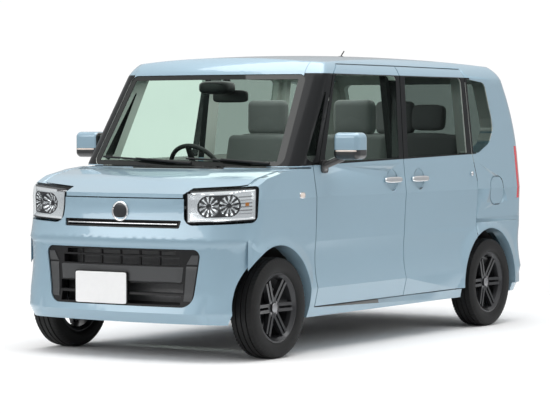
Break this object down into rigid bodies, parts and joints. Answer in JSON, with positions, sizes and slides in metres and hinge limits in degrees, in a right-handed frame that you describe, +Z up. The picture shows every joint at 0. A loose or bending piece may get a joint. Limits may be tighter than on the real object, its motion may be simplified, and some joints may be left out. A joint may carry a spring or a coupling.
{
  "type": "kei car",
  "caption": "Small tall-bodied car with hinged front doors, sliding rear doors, bonnet, hatch, steered front wheels and a seated cabin.",
  "frame": {"origin": "on the ground, under the middle of the body's length and width", "axes": "+X to the car's left side, +Y to its rear, +Z up; the front faces -Y"},
  "size_m": [1.896, 3.395, 1.6707],
  "materials": {
    "body_paint": "pale sky blue gloss paint",
    "chassis_black": "satin black underbody paint",
    "black_plastic": "grained black plastic",
    "clear_glass": "pale green glass",
    "privacy_glass": "dark privacy glass",
    "lamp_clear": "clear lamp lens over a bright reflector",
    "lamp_red": "red lens",
    "wheel_alloy": "dark gunmetal paint",
    "tyre": "black rubber",
    "cast_metal": "bare casting",
    "engine_metal": "cast block",
    "radiator_metal": "bare core",
    "exhaust_steel": "stainless tube",
    "wheel_plastic": "soft black grip",
    "seat_fabric": "dark grey cloth"
  },
  "bodies": {
    "car_body": {"side_frame_left": "body_paint", "side_frame_right": "body_paint", "roof_panel": "body_paint", "fender_left": "body_paint", "fender_right": "body_paint", "front_bumper": "body_paint", "rear_bumper": "body_paint", "sliding_door_left": "body_paint", "sliding_door_right": "body_paint", "floor_pan": "chassis_black", "front_frame": "chassis_black", "rear_axle": "chassis_black", "grille": "black_plastic", "cowl": "black_plastic", "wheel_liners": "black_plastic", "dashboard": "black_plastic", "fuel_tank": "black_plastic", "antenna": "black_plastic", "windscreen": "clear_glass", "side_glass": "privacy_glass", "headlamps": "lamp_clear", "tail_lamps": "lamp_red", "engine": "engine_metal", "radiator": "radiator_metal", "exhaust": "exhaust_steel", "front_seats": "seat_fabric", "rear_seat": "seat_fabric"},
    "bonnet": {"bonnet": "body_paint"},
    "front_door_left": {"front_door_left": "body_paint", "front_door_glass_left": "clear_glass", "door_mirror_left": "body_paint"},
    "front_door_right": {"front_door_right": "body_paint", "front_door_glass_right": "clear_glass", "door_mirror_right": "body_paint"},
    "tailgate": {"tailgate": "body_paint", "tailgate_glass": "privacy_glass"},
    "fuel_flap": {"fuel_flap": "body_paint"},
    "knuckle_left": {"knuckle_left": "cast_metal"},
    "knuckle_right": {"knuckle_right": "cast_metal"},
    "steering_wheel": {"steering_wheel": "wheel_plastic"},
    "wheel_front_left": {"rim_front_left": "wheel_alloy", "tyre_front_left": "tyre"},
    "wheel_front_right": {"rim_front_right": "wheel_alloy", "tyre_front_right": "tyre"},
    "wheel_rear_left": {"rim_rear_left": "wheel_alloy", "tyre_rear_left": "tyre"},
    "wheel_rear_right": {"rim_rear_right": "wheel_alloy", "tyre_rear_right": "tyre"}
  },
  "joints": [
    {"name": "steer_left", "type": "hinge", "parent": "car_body", "child": "knuckle_left", "pos_m": [0.6, -1.228, 0.176], "axis": [-0.1332, 0.029, 0.9907], "range_deg": [-33, 33]},
    {"name": "steer_right", "type": "hinge", "parent": "car_body", "child": "knuckle_right", "pos_m": [-0.6, -1.228, 0.176], "axis": [0.1332, 0.029, 0.9907], "range_deg": [-33, 33]},
    {"name": "steering_wheel_turn", "type": "hinge", "parent": "car_body", "child": "steering_wheel", "pos_m": [-0.33, -0.455, 0.955], "axis": [0, 0.8829, 0.4695], "range_deg": [-541, 541]},
    {"name": "front_door_left_hinge", "type": "hinge", "parent": "car_body", "child": "front_door_left", "pos_m": [0.7295, -0.83, 0.6], "axis": [0, 0, -1], "range_deg": [0, 65]},
    {"name": "front_door_right_hinge", "type": "hinge", "parent": "car_body", "child": "front_door_right", "pos_m": [-0.7295, -0.83, 0.6], "axis": [0, 0, 1], "range_deg": [0, 65]},
    {"name": "bonnet_hinge", "type": "hinge", "parent": "car_body", "child": "bonnet", "pos_m": [0, -1.045, 0.982], "axis": [-1, 0, 0], "range_deg": [0, 45]},
    {"name": "tailgate_hinge", "type": "hinge", "parent": "car_body", "child": "tailgate", "pos_m": [0, 1.42, 1.6], "axis": [1, 0, 0], "range_deg": [0, 85]},
    {"name": "fuel_flap_hinge", "type": "hinge", "parent": "car_body", "child": "fuel_flap", "pos_m": [0.733, 1.162, 0.825], "axis": [0, 0, -1], "range_deg": [0, 80]},
    {"name": "wheel_front_left_spin", "type": "hinge", "parent": "knuckle_left", "child": "wheel_front_left", "pos_m": [0.65, -1.222, 0.266], "axis": [1, 0, 0], "continuous": true},
    {"name": "wheel_front_right_spin", "type": "hinge", "parent": "knuckle_right", "child": "wheel_front_right", "pos_m": [-0.65, -1.222, 0.266], "axis": [1, 0, 0], "continuous": true},
    {"name": "wheel_rear_left_spin", "type": "hinge", "parent": "car_body", "child": "wheel_rear_left", "pos_m": [0.65, 1.173, 0.266], "axis": [1, 0, 0], "continuous": true},
    {"name": "wheel_rear_right_spin", "type": "hinge", "parent": "car_body", "child": "wheel_rear_right", "pos_m": [-0.65, 1.173, 0.266], "axis": [1, 0, 0], "continuous": true}
  ],
  "couplings": [
    {"joint": "steer_right", "follows": "steer_left", "ratio": 1},
    {"joint": "steering_wheel_turn", "follows": "steer_left", "ratio": 16.36}
  ]
}
